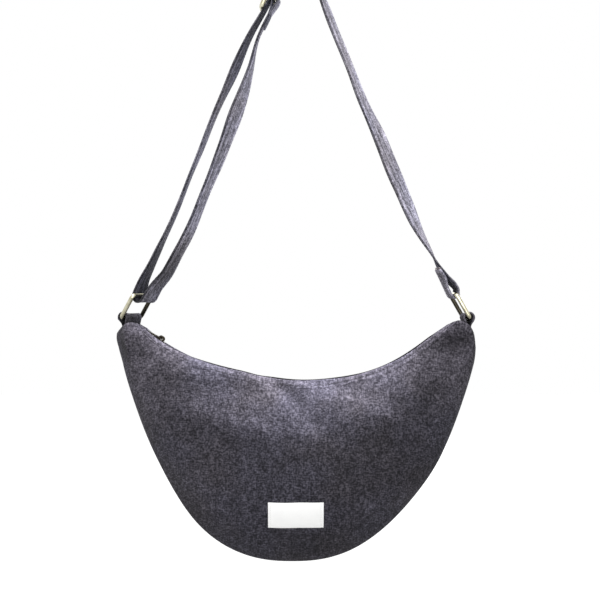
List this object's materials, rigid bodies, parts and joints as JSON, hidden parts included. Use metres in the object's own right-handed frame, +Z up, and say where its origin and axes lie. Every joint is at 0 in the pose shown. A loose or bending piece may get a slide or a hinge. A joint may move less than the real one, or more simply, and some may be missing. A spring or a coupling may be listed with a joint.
{
  "type": "crescent shoulder bag",
  "caption": "Crescent cloth shoulder bag with a curved zip along its mouth, hung by wire rings from a flat adjustable strap that slides through an adjuster.",
  "frame": {"origin": "underside of the strap at its highest point, where a hook or peg holds it", "axes": "+Z up, the front panel faces -Y, +X to the right seen from the front"},
  "size_m": [0.3284, 0.0601, 0.5579],
  "materials": {
    "panel_denim": "washed dark-grey denim twill",
    "strap_denim": "folded and topstitched denim band",
    "lining": "plain cotton",
    "label": "woven cotton tape",
    "zip_tape": "woven polyester tape",
    "zip_coil": "nylon coil",
    "zip_metal": "dark antique brass",
    "ring_brass": "pale aged brass wire"
  },
  "bodies": {
    "bag": {"front_panel": "panel_denim", "back_panel": "panel_denim", "front_lining": "lining", "back_lining": "lining", "label": "label", "zip_tape_front": "zip_tape", "zip_tape_back": "zip_tape", "zip_coil_front": "zip_coil", "zip_coil_back": "zip_coil", "zip_top_stop_front": "zip_metal", "zip_top_stop_back": "zip_metal", "zip_bottom_stop": "zip_metal", "left_anchor_loop": "strap_denim", "right_anchor_loop": "strap_denim", "strap_shoulder": "strap_denim", "strap_right_end": "strap_denim", "strap_left_loop": "strap_denim"},
    "left_ring": {"left_ring": "ring_brass"},
    "right_ring": {"right_ring": "ring_brass"},
    "strap_slider": {"strap_slider": "ring_brass"},
    "zip_slider": {"zip_slider": "zip_metal"},
    "zip_pull": {"zip_pull": "zip_metal"}
  },
  "joints": [
    {"name": "left_ring_swing", "type": "hinge", "parent": "bag", "child": "left_ring", "pos_m": [-0.1522, 0, -0.3325], "axis": [0.4695, 0.8829, 0], "range_deg": [-25, 30], "deforming": ["strap_left_loop"]},
    {"name": "right_ring_swing", "type": "hinge", "parent": "bag", "child": "right_ring", "pos_m": [0.1562, 0, -0.3325], "axis": [-0.0698, 0.9976, 0], "range_deg": [-30, 25], "deforming": ["strap_right_end"]},
    {"name": "strap_adjust", "type": "slide", "parent": "bag", "child": "strap_slider", "axis": [-0.4038, 0, -0.9148], "range_m": [0, 0.06], "deforming": ["strap_left_loop"]},
    {"name": "zip_run", "type": "hinge", "parent": "bag", "child": "zip_slider", "pos_m": [0, 0, -0.17508], "axis": [0, -1, 0], "range_deg": [0, 70.8]},
    {"name": "zip_pull_flip", "type": "hinge", "parent": "zip_slider", "child": "zip_pull", "pos_m": [-0.12418, 0, -0.34963], "axis": [0, 1, 0], "range_deg": [0, 170]}
  ]
}
